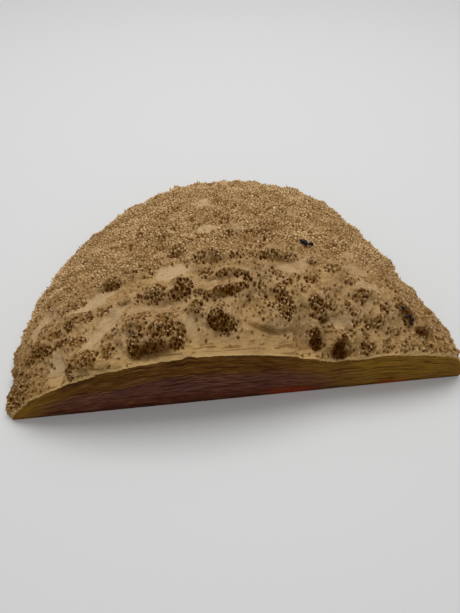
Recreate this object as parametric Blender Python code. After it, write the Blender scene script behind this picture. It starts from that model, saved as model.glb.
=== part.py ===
"""Mallee burl, sawn: a half of a domed burl cap with its bark off.

The piece grew as one, so it is one solid. It has three kinds of surface: a flat sawn
underside that it rests on, a flat upright sawn side, and the domed natural skin, with
knobs, smooth valleys and a close cover of short woody spikes.

Everything is in metres, +Z up. +X runs along the sawn side, which faces -Y. The origin
is under the middle of the piece, in the plane of the underside. Places on the skin are
given as (along, back): along the sawn side from its middle, and back from it.
"""

from math import atan2, cos, hypot, pi, radians, sin
from random import Random

import bmesh
import bpy
import numpy as np
from mathutils import Vector

MM = 0.001

# Driving dimensions of the dome
DOME_HEIGHT = 78 * MM
DOME_CENTRE = (8 * MM, 76 * MM)
CROWN_POWER = 1.7

# The foot of the dome every 30 degrees round its centre, anticlockwise from +X:
# the radius in mm, and the flank's power, which is low on a steep flank
RIM = (
    (147, 0.47),
    (148, 0.54),
    (164, 0.54),
    (164, 0.47),
    (166, 0.50),
    (167, 0.58),
    (178, 0.63),
    (192, 0.65),
    (176, 0.78),
    (158, 0.98),
    (148, 1.00),
    (180, 0.56),
)

# The middle of the sawn side's foot, seen from the origin
SAWN_SIDE = (2 * MM, -122 * MM)

# Knobs that swell out of the skin, in mm and degrees:
# along, back, half length, half width, turn of the length from +X, height
KNOBS = (
    # the great knob left of the middle, with its lobes
    (-56, 20, 27, 17, 8, 7),
    (-72, 29, 11, 9, 0, 3),
    (-63, 33, 10, 8, 0, 3),
    (-49, 28, 12, 8, -20, 3),
    (-70, 13, 11, 9, 0, 3),
    # the knob beside it and the clusters behind
    (-13, 25, 15, 10, 0, 7),
    (-27, 32, 7, 8, 0, 4),
    (-35, 49, 12, 9, 0, 4),
    (-53, 51, 9, 9, 0, 4),
    # two combs, an upright knob and the swirl under it
    (-8, 43, 20, 6, 15, 5),
    (-10, 57, 18, 7, 5, 4),
    (18, 41, 5, 11, 0, 4),
    (31, 40, 8, 8, 0, 3),
    (26, 27, 19, 12, 0, 4),
    # the long ridge that crosses the middle
    (-37, 87, 11, 9, 0, 5),
    (-12, 75, 22, 8, -5, 4),
    (30, 72, 20, 8, 0, 4),
    # knobs on the right
    (56, 35, 8, 8, 0, 4),
    (61, 26, 8, 7, 0, 4),
    (53, 14, 8, 9, 0, 5),
    (70, 8, 11, 8, 0, 7),
    (93, 40, 11, 9, 0, 3),
    (84, 7, 9, 9, 0, 3),
    (105, 6, 11, 10, 0, 3),
    (101, 20, 8, 7, 0, 3),
    (123, 26, 13, 11, 0, 4),
    (158, 8, 18, 26, 0, 4),
    # knobs on the left
    (-118, 46, 18, 13, 0, 5),
    (-140, 37, 15, 9, 20, 5),
    (-115, 30, 8, 8, 0, 3),
    (-91, 10, 12, 12, 0, 5),
    (-105, 13, 13, 12, 0, 6),
    (-87, 72, 14, 7, 10, 4),
    (-77, 51, 10, 6, 0, 3),
    (-148, 9, 11, 14, 0, 4),
)

# Smooth valleys between them, with the same columns, the last one being the depth
VALLEYS = (
    (-42, 66, 13, 10, 0, 2),
    (-99, 60, 18, 8, 20, 2),
    (-90, 34, 24, 6, 44, 3),
    (-146, 60, 15, 6, 60, 2),
    (-126, 12, 7, 16, 0, 3),
    (-58, 40, 28, 6, -8, 3),
    (-33, 19, 7, 17, 15, 3),
    (8, 30, 8, 13, 0, 3),
    (6, 6, 48, 9, 0, 1),
    (43, 12, 8, 16, 0, 4),
    (46, 27, 8, 8, 0, 3),
    (72, 19, 9, 6, 0, 2),
    (97, 12, 6, 8, 0, 2),
    (-17, 151, 7, 6, 0, 1),
    (-17, 110, 9, 5, 0, 1),
)

# Broad dips of the dome behind the sawn side, with the same columns
DIPS = (
    (98, 0, 66, 40, 0, 9),
    (-150, 0, 20, 14, 0, 2),
)

# Fine swells and dips of the whole skin: the wavelength along x and y, and the height
SWELLS = ((61 * MM, 47 * MM, 1.6 * MM), (29 * MM, 35 * MM, 1.1 * MM))

# The spikes, each raised on one triangle of the skin
SPIKE_HEIGHT = 4.2 * MM
SPARSE_SPIKE_SHARE = 0.6
SPIKE_SPREAD = 0.35
SPIKE_EDGE_GAP = 0.4 * MM
BACK_COVER_STARTS = 60 * MM
BACK_COVER_FULL = 100 * MM
END_COVER_STARTS = 60 * MM
END_COVER_FULL = 130 * MM
FRONT_COVER = 0.35
FULL_COVER = 0.92
KNOB_COVER = 3.0
VALLEY_BARENESS = 2.0

# The net of triangles that the skin is made of
NET_SUBDIVISIONS = 4
NET_CUTS = 2
NET_JITTER = 0.010
FLANK_STEPS = 80
SAW_SNAP = 1.0 * MM
SMALLEST_SPIKE_BASE = 6.0 * MM * MM
SEED = 7

SKIN_COLOUR = (0.36, 0.24, 0.13, 1.0)
SAWN_COLOUR = (0.16, 0.07, 0.035, 1.0)


def clear_scene():
    for thing in list(bpy.data.objects):
        bpy.data.objects.remove(thing, do_unlink=True)


def smooth_step(low, high, value):
    share = min(max((value - low) / (high - low), 0.0), 1.0)
    return share * share * (3.0 - 2.0 * share)


def rim_at(azimuth):
    """Radius of the foot and power of the flank at an angle, on a smooth closed curve."""
    place = (azimuth / (2.0 * pi)) % 1.0 * len(RIM)
    first = int(place)
    share = place - first
    before, start, end, after = (RIM[(first + step) % len(RIM)] for step in (-1, 0, 1, 2))
    values = []
    for b, s, e, a in zip(before, start, end, after):
        curve = 2.0 * b - 5.0 * s + 4.0 * e - a
        twist = -b + 3.0 * s - 3.0 * e + a
        values.append(s + 0.5 * share * (e - b + share * (curve + share * twist)))
    radius, power = values
    return radius * MM, power


def dome_height(share, power):
    """Height of the bare dome at a share of its radius."""
    return DOME_HEIGHT * max(1.0 - share ** CROWN_POWER, 0.0) ** power


def share_along_flank(turn, radius, power):
    """Share of the radius that lies at a share of the way down the flank."""
    shares = 1.0 - np.linspace(1.0, 0.0, FLANK_STEPS) ** 2
    heights = DOME_HEIGHT * np.clip(1.0 - shares ** CROWN_POWER, 0.0, 1.0) ** power
    steps = np.hypot(np.diff(shares * radius), np.diff(heights))
    way = np.concatenate([[0.0], np.cumsum(steps)])
    return float(np.interp(turn * way[-1], way, shares))


def mound(form, along, back):
    """1 in the middle of a knob or valley, falling smoothly to 0 at its edge."""
    middle_x, middle_y, half_length, half_width, turn, _ = form
    x = along / MM - middle_x
    y = back / MM - middle_y
    angle = radians(turn)
    u = (x * cos(angle) + y * sin(angle)) / half_length
    v = (y * cos(angle) - x * sin(angle)) / half_width
    return max(1.0 - u * u - v * v, 0.0) ** 1.5


def relief(along, back):
    """How far the skin stands out of the bare dome."""
    height = 0.0
    for form in KNOBS:
        height += form[-1] * MM * mound(form, along, back)
    for form in VALLEYS + DIPS:
        height -= form[-1] * MM * mound(form, along, back)
    for length_x, length_y, swell in SWELLS:
        height += swell * sin(2.0 * pi * along / length_x) * sin(2.0 * pi * back / length_y)
    return height


def spike_cover(along, back):
    """The share of the skin's triangles that bear a spike at a place."""
    at_back = smooth_step(BACK_COVER_STARTS, BACK_COVER_FULL, back)
    at_ends = smooth_step(END_COVER_STARTS, END_COVER_FULL, abs(along))
    on_knob = max(mound(form, along, back) for form in KNOBS)
    in_valley = max(mound(form, along, back) for form in VALLEYS)
    cover = max(at_back, at_ends, FRONT_COVER, KNOB_COVER * on_knob)
    return min(max(cover - VALLEY_BARENESS * in_valley, 0.0), FULL_COVER)


def skin_point(direction):
    """The point of the skin that a direction from the dome's middle meets.

    The lower half mirrors the upper one, so that the underside's saw cut is clean.
    """
    azimuth = atan2(direction.y, direction.x)
    level = hypot(direction.x, direction.y)
    turn = atan2(level, abs(direction.z)) / (pi / 2.0)
    radius, power = rim_at(azimuth)
    share = share_along_flank(turn, radius, power)
    along = DOME_CENTRE[0] + share * radius * cos(azimuth)
    back = DOME_CENTRE[1] + share * radius * sin(azimuth)
    height = dome_height(share, power)
    outward = Vector((cos(azimuth) * sin(turn * pi / 2.0),
                      sin(azimuth) * sin(turn * pi / 2.0),
                      cos(turn * pi / 2.0)))
    point = Vector((along, back, height)) + outward * relief(along, back)
    if direction.z < 0.0:
        point.z = -point.z
    return point


def add_net(mesh, chance):
    """A ball of even triangles, pushed out to the skin."""
    bmesh.ops.create_icosphere(mesh, subdivisions=NET_SUBDIVISIONS, radius=1.0)
    bmesh.ops.subdivide_edges(mesh, edges=mesh.edges[:], cuts=NET_CUTS, use_grid_fill=True)
    for vertex in mesh.verts:
        nudge = Vector([chance.gauss(0.0, NET_JITTER) for _ in range(3)])
        vertex.co = skin_point((vertex.co + nudge).normalized())


def saw(mesh, axis):
    """Saws the piece flat in the plane through 0 across an axis and keeps the high side."""
    for vertex in mesh.verts:
        if abs(vertex.co[axis]) < SAW_SNAP:
            vertex.co[axis] = 0.0
    normal = Vector((0.0, 0.0, 0.0))
    normal[axis] = 1.0
    everything = mesh.verts[:] + mesh.edges[:] + mesh.faces[:]
    bmesh.ops.bisect_plane(mesh, geom=everything, dist=1e-6, plane_co=(0.0, 0.0, 0.0),
                           plane_no=normal, clear_inner=True)
    open_edges = [edge for edge in mesh.edges if edge.is_boundary]
    bmesh.ops.holes_fill(mesh, edges=open_edges, sides=0)


def is_sawn(face):
    """Whether a face lies in one of the two saw cuts."""
    return any(all(abs(v.co[axis]) < 1e-6 for v in face.verts) for axis in (1, 2))


def raise_spikes(mesh, chance):
    """Raises a three-sided spike on each triangle of the skin that bears one."""
    for face in [face for face in mesh.faces if not is_sawn(face)]:
        middle = face.calc_center_median()
        cover = spike_cover(middle.x, middle.y)
        bears_spike = chance.random() < cover
        size = SPIKE_HEIGHT * (SPARSE_SPIKE_SHARE + (1.0 - SPARSE_SPIKE_SHARE) * cover)
        size *= 1.0 + chance.uniform(-SPIKE_SPREAD, SPIKE_SPREAD)
        if not bears_spike or face.calc_area() < SMALLEST_SPIKE_BASE or len(face.verts) > 3:
            continue
        normal = face.normal.copy()
        tip = bmesh.ops.poke(mesh, faces=[face])["verts"][0]
        tip.co += normal * size
        tip.co.y = max(tip.co.y, SPIKE_EDGE_GAP)
        tip.co.z = max(tip.co.z, SPIKE_EDGE_GAP)


def make_material(name, colour, roughness):
    material = bpy.data.materials.new(name)
    material.use_nodes = True
    shader = material.node_tree.nodes["Principled BSDF"]
    shader.inputs["Base Color"].default_value = colour
    shader.inputs["Roughness"].default_value = roughness
    shader.inputs["Metallic"].default_value = 0.0
    material.diffuse_color = colour
    return material


def make_burl():
    chance = Random(SEED)
    mesh = bmesh.new()
    add_net(mesh, chance)
    saw(mesh, 1)
    saw(mesh, 2)
    bmesh.ops.triangulate(mesh, faces=[face for face in mesh.faces if not is_sawn(face)])
    bmesh.ops.recalc_face_normals(mesh, faces=mesh.faces[:])
    raise_spikes(mesh, chance)
    for face in mesh.faces:
        face.material_index = 1 if is_sawn(face) else 0
    bmesh.ops.triangulate(mesh, faces=mesh.faces[:])
    bmesh.ops.translate(mesh, verts=mesh.verts[:], vec=(SAWN_SIDE[0], SAWN_SIDE[1], 0.0))
    data = bpy.data.meshes.new("burl")
    mesh.to_mesh(data)
    mesh.free()
    data.materials.append(make_material("spiky_skin", SKIN_COLOUR, 0.8))
    data.materials.append(make_material("sawn_wood", SAWN_COLOUR, 0.55))
    return bpy.data.objects.new("burl", data)


def main():
    clear_scene()
    collection = bpy.data.collections.new("mallee_burl")
    bpy.context.scene.collection.children.link(collection)
    collection.objects.link(make_burl())


main()
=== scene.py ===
"""Looks of the sawn mallee burl: its fine skin, thousands of woody spikes and sawn faces.

The skin is the same formula as the solid's, on a much finer net. Places on the skin are
given as (along, back): along the sawn side from its middle, and back from it. PLACE moves
them to the part's own frame. Lengths are in metres, and in millimetres in the tables.
"""

from math import cos, pi, radians, sin
from random import Random

import bmesh
import bpy
import numpy as np
from mathutils import Matrix, Vector, noise
from mathutils.kdtree import KDTree


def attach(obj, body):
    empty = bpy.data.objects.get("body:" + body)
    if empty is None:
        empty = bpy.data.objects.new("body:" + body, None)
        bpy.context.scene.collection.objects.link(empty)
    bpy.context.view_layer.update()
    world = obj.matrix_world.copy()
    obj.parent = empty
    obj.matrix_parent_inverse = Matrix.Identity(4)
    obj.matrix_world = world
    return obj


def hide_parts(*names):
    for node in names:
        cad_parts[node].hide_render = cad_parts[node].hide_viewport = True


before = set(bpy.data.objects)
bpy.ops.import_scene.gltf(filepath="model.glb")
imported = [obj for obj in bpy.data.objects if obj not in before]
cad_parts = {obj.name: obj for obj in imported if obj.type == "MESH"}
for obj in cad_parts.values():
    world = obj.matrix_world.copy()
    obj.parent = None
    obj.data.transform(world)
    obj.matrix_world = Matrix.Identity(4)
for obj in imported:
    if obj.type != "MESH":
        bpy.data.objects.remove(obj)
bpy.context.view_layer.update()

MM = 0.001
NODE = "burl"
BODY = "root"

# Driving dimensions of the dome, as the solid has them
DOME_HEIGHT = 78 * MM
DOME_CENTRE = (8 * MM, 76 * MM)
CROWN_POWER = 1.7
PLACE = (2 * MM, -122 * MM, 0.0)

# The foot of the dome every 30 degrees round its centre, anticlockwise from +X:
# the radius in mm, and the flank's power, which is low on a steep flank
RIM = (
    (147, 0.47),
    (148, 0.54),
    (164, 0.54),
    (164, 0.47),
    (166, 0.50),
    (167, 0.58),
    (178, 0.63),
    (192, 0.65),
    (176, 0.78),
    (158, 0.98),
    (148, 1.00),
    (180, 0.56),
)

# Knobs that swell out of the skin, in mm and degrees:
# along, back, half length, half width, turn of the length from +X, height
KNOBS = (
    # the great knob left of the middle, with its lobes
    (-56, 20, 27, 17, 8, 7),
    (-72, 29, 11, 9, 0, 3),
    (-63, 33, 10, 8, 0, 3),
    (-49, 28, 12, 8, -20, 3),
    (-70, 13, 11, 9, 0, 3),
    # the knob beside it and the clusters behind
    (-13, 25, 15, 10, 0, 7),
    (-27, 32, 7, 8, 0, 4),
    (-35, 49, 12, 9, 0, 4),
    (-53, 51, 9, 9, 0, 4),
    # two combs, an upright knob and the swirl under it
    (-8, 43, 20, 6, 15, 5),
    (-10, 57, 18, 7, 5, 4),
    (18, 41, 5, 11, 0, 4),
    (31, 40, 8, 8, 0, 3),
    (26, 27, 19, 12, 0, 4),
    # the long ridge that crosses the middle
    (-37, 87, 11, 9, 0, 5),
    (-12, 75, 22, 8, -5, 4),
    (30, 72, 20, 8, 0, 4),
    # knobs on the right
    (56, 35, 8, 8, 0, 4),
    (61, 26, 8, 7, 0, 4),
    (53, 14, 8, 9, 0, 5),
    (70, 8, 11, 8, 0, 7),
    (93, 40, 11, 9, 0, 3),
    (84, 7, 9, 9, 0, 3),
    (105, 6, 11, 10, 0, 3),
    (101, 20, 8, 7, 0, 3),
    (123, 26, 13, 11, 0, 4),
    (158, 8, 18, 26, 0, 4),
    # knobs on the left
    (-118, 46, 18, 13, 0, 5),
    (-140, 37, 15, 9, 20, 5),
    (-115, 30, 8, 8, 0, 3),
    (-91, 10, 12, 12, 0, 5),
    (-105, 13, 13, 12, 0, 6),
    (-87, 72, 14, 7, 10, 4),
    (-77, 51, 10, 6, 0, 3),
    (-148, 9, 11, 14, 0, 4),
)

# Smooth valleys between them, with the same columns, the last one being the depth
VALLEYS = (
    (-42, 66, 13, 10, 0, 2),
    (-99, 60, 18, 8, 20, 2),
    (-90, 34, 24, 6, 44, 3),
    (-146, 60, 15, 6, 60, 2),
    (-126, 12, 7, 16, 0, 3),
    (-58, 40, 28, 6, -8, 3),
    (-33, 19, 7, 17, 15, 3),
    (8, 30, 8, 13, 0, 3),
    (6, 6, 48, 9, 0, 1),
    (43, 12, 8, 16, 0, 4),
    (46, 27, 8, 8, 0, 3),
    (72, 19, 9, 6, 0, 2),
    (97, 12, 6, 8, 0, 2),
    (-17, 151, 7, 6, 0, 1),
    (-17, 110, 9, 5, 0, 1),
)

# Broad dips of the dome behind the sawn side, with the same columns
DIPS = (
    (98, 0, 66, 40, 0, 9),
    (-150, 0, 20, 14, 0, 2),
)

# Fine swells and dips of the whole skin: the wavelength along x and y, and the height
SWELLS = ((61 * MM, 47 * MM, 1.6 * MM), (29 * MM, 35 * MM, 1.1 * MM))

# Clusters of pits, in mm and degrees:
# along, back, half length, half width, turn of the length, and the crowding in tenths
CLUSTERS = (
    # on the great knob
    (-63, 31, 6, 6, 0, 8), (-48, 26, 8, 6, 0, 8), (-72, 25, 7, 5, 0, 6),
    (-52, 16, 11, 6, 0, 9), (-39, 17, 4, 6, 0, 8), (-71, 13, 5, 8, 0, 9),
    (-57, 8, 10, 4, 0, 8), (-42, 9, 6, 4, 0, 9), (-65, 17, 3, 4, 0, 8),
    (-50, 21, 12, 4, 0, 7), (-66, 23, 6, 4, 0, 6),
    # on the knob beside it and behind
    (-16, 21, 6, 6, 0, 9), (-8, 18, 8, 5, 0, 8), (-10, 29, 5, 4, 0, 5),
    (-27, 32, 5, 6, 0, 8), (-20, 39, 3, 5, 0, 8), (-26, 43, 4, 4, 0, 8),
    (-35, 49, 8, 8, 0, 9), (-42, 45, 5, 5, 0, 9), (-54, 48, 7, 7, 0, 8),
    (-65, 49, 7, 4, 0, 6), (-76, 49, 4, 4, 0, 4),
    # the two combs
    (-3, 43, 16, 4, 12, 9), (-19, 59, 6, 6, 0, 7), (-8, 55, 5, 3, 0, 8),
    (3, 56, 7, 3, 0, 8), (10, 51, 4, 4, 0, 10),
    # the upright knob and the swirl
    (19, 42, 4, 9, 0, 8), (16, 25, 3, 5, 0, 5), (9, 38, 2, 3, 0, 7),
    (24, 31, 2, 3, 0, 9), (31, 42, 5, 5, 0, 8), (33, 30, 8, 11, 0, 8),
    (22, 29, 8, 5, 0, 5), (21, 20, 3, 3, 0, 5), (38, 47, 4, 4, 0, 8),
    (32, 55, 5, 4, 0, 6),
    # behind the middle
    (-39, 84, 9, 4, 0, 9), (-22, 74, 5, 3, 0, 8), (-8, 72, 5, 4, 0, 8),
    (-29, 71, 7, 4, 0, 5), (5, 72, 7, 4, 0, 7), (24, 71, 14, 6, 0, 7),
    (43, 69, 8, 5, 0, 6), (60, 65, 7, 4, 0, 6), (75, 58, 8, 5, 0, 6),
    # at the back
    (-51, 98, 4, 3, 0, 7), (-64, 122, 5, 5, 0, 5), (-45, 144, 7, 5, 0, 6),
    (-3, 160, 3, 5, 0, 7), (2, 129, 8, 7, 0, 6), (23, 130, 5, 5, 0, 5),
    (50, 132, 4, 11, 0, 6),
    # on the right
    (45, 51, 3, 4, 0, 7), (56, 49, 7, 4, 0, 8), (61, 39, 3, 3, 0, 9),
    (54, 32, 4, 4, 0, 8), (48, 41, 3, 4, 0, 7), (57, 28, 7, 4, -15, 9),
    (67, 29, 4, 3, 0, 7), (78, 30, 3, 3, 0, 8), (84, 49, 6, 4, 0, 6),
    (89, 36, 7, 5, 0, 7), (82, 25, 3, 3, 0, 9), (57, 23, 6, 3, 0, 8),
    (63, 17, 5, 4, 0, 7), (52, 14, 4, 4, 0, 8), (52, 9, 5, 4, 0, 10),
    (71, 7, 6, 4, 0, 8), (69, 3, 6, 3, 0, 10), (78, 13, 4, 3, 0, 7),
    (89, 13, 4, 3, 0, 8), (90, 5, 6, 4, 0, 8), (83, 19, 5, 3, 0, 7),
    (93, 20, 3, 3, 0, 7), (100, 20, 5, 4, 0, 8), (107, 29, 5, 4, 0, 8),
    (121, 33, 7, 8, 0, 8), (123, 23, 6, 6, 0, 9), (132, 14, 7, 5, 0, 8),
    (111, 15, 6, 4, 0, 7), (105, 6, 6, 5, 0, 6), (117, 5, 5, 4, 0, 6),
    (136, 5, 5, 4, 0, 7), (146, 7, 6, 5, 0, 5), (117, 62, 8, 6, 0, 7),
    (122, 51, 7, 8, 0, 6),
    # on the left
    (-89, 13, 5, 7, 0, 8), (-87, 26, 6, 4, 0, 6), (-92, 47, 7, 4, 0, 7),
    (-89, 69, 10, 6, 0, 7), (-75, 76, 7, 4, 0, 7), (-59, 68, 7, 4, 0, 5),
    (-120, 62, 15, 8, 0, 7), (-108, 46, 8, 6, 0, 8), (-118, 43, 6, 5, 0, 9),
    (-131, 40, 6, 5, 0, 8), (-113, 29, 7, 5, 0, 7), (-137, 30, 8, 4, 0, 9),
    (-124, 31, 8, 4, 0, 8), (-145, 36, 8, 8, 0, 7), (-107, 11, 14, 8, 0, 7),
    (-114, 10, 7, 6, 0, 9), (-152, 30, 8, 9, 0, 7), (-136, 16, 8, 6, 0, 5),
    (-144, 8, 6, 5, 0, 4), (-158, 8, 12, 10, 0, 9), (-164, 20, 9, 9, 0, 8),
    (-115, 4, 3, 3, 0, 9), (-143, 53, 7, 10, 0, 7),
)

# Pale smooth patches of the skin, with the same columns and the paleness in tenths
PALE_PATCHES = (
    (-42, 66, 16, 10, 0, 10),
    (-100, 58, 20, 8, 20, 8),
    (-91, 33, 26, 8, 44, 8),
    (-127, 13, 9, 16, 0, 8),
    (-147, 60, 16, 7, 60, 6),
    (-14, 152, 8, 11, 0, 9),
    (-14, 109, 12, 7, 0, 9),
    (7, 104, 9, 8, 0, 4),
    (15, 152, 6, 9, 0, 3),
    (56, 130, 9, 9, 0, 4),
    (-45, 134, 9, 7, 0, 3),
    (31, 80, 6, 6, 0, 3),
    (52, 64, 7, 5, 0, 4),
    (91, 78, 8, 6, 0, 4),
    (70, 20, 14, 6, 0, 4),
    (42, 59, 13, 7, 0, 4),
    (96, 44, 14, 7, 0, 4),
    (92, 62, 13, 7, 0, 4),
    (-32, 20, 5, 14, 15, 4),
    (-60, 40, 22, 5, -8, 3),
)

# Dark resin stains in the skin: along, back, half length, half width, in mm
STAINS = (
    (59, 84, 6, 5),
    (123, 27, 8, 9),
    (133, 15, 9, 5),
    (53, 10, 6, 6),
    (68, 4, 7, 5),
    (-58, 6, 20, 5),
)

# Glinting black beads of resin: along, back, half length, half width, height, in mm
BEADS = (
    (57, 87, 3.2, 2.2, 1.8),
    (59, 85, 1.8, 1.9, 1.5),
    (63, 84, 1.9, 1.5, 1.3),
    (124, 25, 1.8, 1.3, 1.0),
    (126, 22, 1.5, 1.2, 0.9),
    (122, 23, 1.1, 1.0, 0.8),
    (120, 30, 1.7, 1.2, 1.0),
    (125, 19, 1.4, 1.1, 0.9),
)

# The crease under the swirl: an arc of an ellipse, in mm and degrees
CREASE_CENTRE = (24, 27)
CREASE_HALF_AXES = (20, 13)
CREASE_SPAN = (195, 330)
CREASE_WIDTH = 2.2
CREASE_FADE = 25
CREASE_DEPTH = 1.1 * MM

# The net that the fine skin is made of, twice as fine in front
NET_SUBDIVISIONS = 8
NET_FOOT = -0.05
FRONT_DEPTH = 78 * MM
SAWN_OFF = -3 * MM
FLANK_STEPS = 80
CHUNK = 20000

# The saw cuts, with shallow long dents in the upright one, and the kinds of surface
SAW_SNAP = 0.2 * MM
ON_PLANE = 0.001 * MM
SIDE_ROWS = 22
SIDE_DENT = 0.10 * MM
SIDE_DENT_STRETCH = 9
SKIN, SAWN_SIDE, UNDERSIDE = 0, 1, 2

# Small mounds all over the skin except in the valleys, in mm
TUFTS = 1300
TUFT_ALONG = (-172.0, 172.0)
TUFT_BACK = (0.0, 240.0)
TUFT_RADIUS = (2.2, 6.5)
TUFT_HEIGHT = (0.4, 1.7)
TUFT_LENGTH = 1.2

# Folds and wrinkles of the skin: the size and the height
FOLDS = (6.0 * MM, 0.55 * MM)
WRINKLES = (2.4 * MM, 0.35 * MM)

# Pits, painted dark inside as shade, close and large where they crowd, and the knobbly walls
# between them
PIT_GAP = (2.4 * MM, 4.2 * MM)
PIT_RADIUS = (1.0 * MM, 2.7 * MM)
PIT_NARROWING = 1.5
PIT_WARP = 1.2 * MM
PIT_WALL = 0.7 * MM
PIT_DEPTH = 2.2 * MM
LUMP_SIZE = 2.6 * MM
LUMP_HEIGHT = 1.8 * MM
LEAST_ROUGHNESS = 0.30
SCATTER_FRONT = 0.33
SCATTER_RIGHT = 0.06
SCATTER_ENDS = 0.14
SCATTER_BACK = 0.42

# Spikes: how many places are tried, the gaps between them, and their sizes
SPIKE_TRIES = 160000
SPIKE_GAP_FRONT = 2.4 * MM
SPIKE_GAP_BACK = 2.0 * MM
SPIKE_HEIGHT_FRONT = (0.8 * MM, 2.0 * MM)
SPIKE_HEIGHT_BACK = (0.6 * MM, 2.3 * MM)
FRONT_SPIKE_SHARE = 0.60
STOUT_SHARE = 0.09
STOUT_GROWTH = 1.7
SPIKE_SIDES = 6
# The foot's half width as a share of the gap, and how a spike leans out of the dome and up
SPIKE_FOOT = (0.45, 0.62)
SPIKE_ROOT = -40 * MM
SPIKE_LIFT = 0.35
# Each ring of a spike: its share of the height, and its width downhill and across
SPIKE_RINGS = ((-0.30, 1.15, 1.30), (0.10, 0.92, 0.86), (0.46, 0.62, 0.52), (0.80, 0.32, 0.29))
# How narrow a spike is across, in front and at the back: the least and most
FRONT_BLADES = (0.45, 0.80)
BACK_BLADES = (0.55, 1.00)
# Where the pieces that hold the spikes meet: behind the front one, left and right at the back
FRONT_SPIKES_DEPTH = 55 * MM
LEFT_SPIKES_END = -55 * MM
RIGHT_SPIKES_START = 65 * MM
SEED = 11

# The beads' lift off the skin and their turn in radians
BEAD_LIFT = 0.8 * MM
BEAD_TURN = -0.5

# The grain runs round the dome at this radius, and is drawn out downhill and along the cut
GRAIN_RADIUS = 110 * MM
GRAIN_DOWNHILL = 0.16
GRAIN_ALONG = 0.10

# The stage: a floor, one broad soft light and the glow of the room
FLOOR_HALF_WIDTH = 4.0
LIGHT_PLACE = (0.05, 0.45, 1.25)
LIGHT_SIZE = (1.3, 0.7)
LIGHT_POWER = 9.6
ROOM_GLOW = 0.45

# The photograph's view: its frame, the eye's place, and its tilt and turn in degrees
PICTURE = (460.0, 613.0)
SENSOR = 36.0
EYE = (-27 * MM, -168 * MM, 309 * MM)
LOOKING_DOWN = 50.0
LOOKING_ASIDE = -6.33


# The surface

def smooth_step(low, high, value):
    share = np.clip((value - low) / (high - low), 0.0, 1.0)
    return share * share * (3.0 - 2.0 * share)


def rim_at(azimuth):
    """Radius of the foot and power of the flank at angles, on a smooth closed curve."""
    rim = np.array(RIM, float)
    place = (azimuth / (2.0 * pi)) % 1.0 * len(rim)
    first = place.astype(int)
    share = (place - first)[:, None]
    before, start, end, after = (rim[(first + step) % len(rim)] for step in (-1, 0, 1, 2))
    curve = 2.0 * before - 5.0 * start + 4.0 * end - after
    twist = -before + 3.0 * start - 3.0 * end + after
    values = start + 0.5 * share * (end - before + share * (curve + share * twist))
    return values[:, 0] * MM, values[:, 1]


def dome_height(share, power):
    return DOME_HEIGHT * np.clip(1.0 - share ** CROWN_POWER, 0.0, 1.0) ** power


def share_along_flank(turn, radius, power):
    """Shares of the radius that lie at shares of the way down the flank."""
    shares = 1.0 - np.linspace(1.0, 0.0, FLANK_STEPS) ** 2
    heights = dome_height(shares[None, :], power[:, None])
    steps = np.hypot(np.diff(shares)[None, :] * radius[:, None], np.diff(heights, axis=1))
    way = np.concatenate([np.zeros((len(turn), 1)), np.cumsum(steps, axis=1)], axis=1)
    target = turn * way[:, -1]
    after = np.clip((way < target[:, None]).sum(axis=1), 1, FLANK_STEPS - 1)
    rows = np.arange(len(turn))
    low, high = way[rows, after - 1], way[rows, after]
    part = (target - low) / (high - low)
    return shares[after - 1] + part * (shares[after] - shares[after - 1])


def mound(form, along, back):
    """1 in the middle of a knob or valley, falling smoothly to 0 at its edge."""
    middle_along, middle_back, half_length, half_width, turn = form[:5]
    angle = radians(turn)
    x = along / MM - middle_along
    y = back / MM - middle_back
    u = (x * cos(angle) + y * sin(angle)) / half_length
    v = (y * cos(angle) - x * sin(angle)) / half_width
    return np.clip(1.0 - u * u - v * v, 0.0, 1.0) ** 1.5


def mounds_at(forms, along, back):
    """Each form's mound at the places near it, with those places' indices."""
    order = np.argsort(along)
    sorted_along = along[order]
    for form in forms:
        middle, reach = form[0], max(form[2], form[3])
        ends = ((middle - reach) * MM, (middle + reach) * MM)
        first, last = np.searchsorted(sorted_along, ends)
        near = order[first:last]
        yield form, near, mound(form, along[near], back[near])


def height_of(forms, along, back):
    height = np.zeros_like(along)
    for form, near, rise in mounds_at(forms, along, back):
        height[near] += form[-1] * MM * rise
    return height


def highest(forms, along, back):
    """The highest mound of some forms at places, from 0 to 1."""
    share = np.zeros_like(along)
    for _, near, rise in mounds_at(forms, along, back):
        share[near] = np.maximum(share[near], rise)
    return share


def relief(along, back):
    """How far the skin stands out of the bare dome, as on the solid."""
    height = height_of(KNOBS, along, back) - height_of(VALLEYS + DIPS, along, back)
    for length_x, length_y, swell in SWELLS:
        height += swell * np.sin(2.0 * pi * along / length_x) * np.sin(2.0 * pi * back / length_y)
    return height


def lee_shade(along, back):
    """1 on the steep front sides of knobs, where shade is painted dark, 0 elsewhere."""
    step = 0.7 * MM
    rise = height_of(KNOBS, along, back + step) - height_of(KNOBS, along, back - step)
    return smooth_step(0.42, 0.90, rise / (2.0 * step))


def crease(along, back):
    """1 on the crease under the swirl, where shade is painted dark, 0 away from it."""
    x = (along / MM - CREASE_CENTRE[0]) / CREASE_HALF_AXES[0]
    y = (back / MM - CREASE_CENTRE[1]) / CREASE_HALF_AXES[1]
    off = np.abs(np.hypot(x, y) - 1.0) * CREASE_HALF_AXES[1] / CREASE_WIDTH
    angle = np.degrees(np.arctan2(y, x)) % 360.0
    start, end = CREASE_SPAN
    ends = smooth_step(start, start + CREASE_FADE, angle)
    ends *= smooth_step(end, end - CREASE_FADE, angle)
    return np.clip(1.0 - off * off, 0.0, 1.0) * ends


def noise_at(points, size, seed=0.0):
    """Smooth noise of about -1 to 1, with bumps of a size."""
    shift = Vector((seed, -seed, 2.0 * seed))
    return np.array([noise.noise(Vector(point) / size + shift) for point in points])


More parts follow.
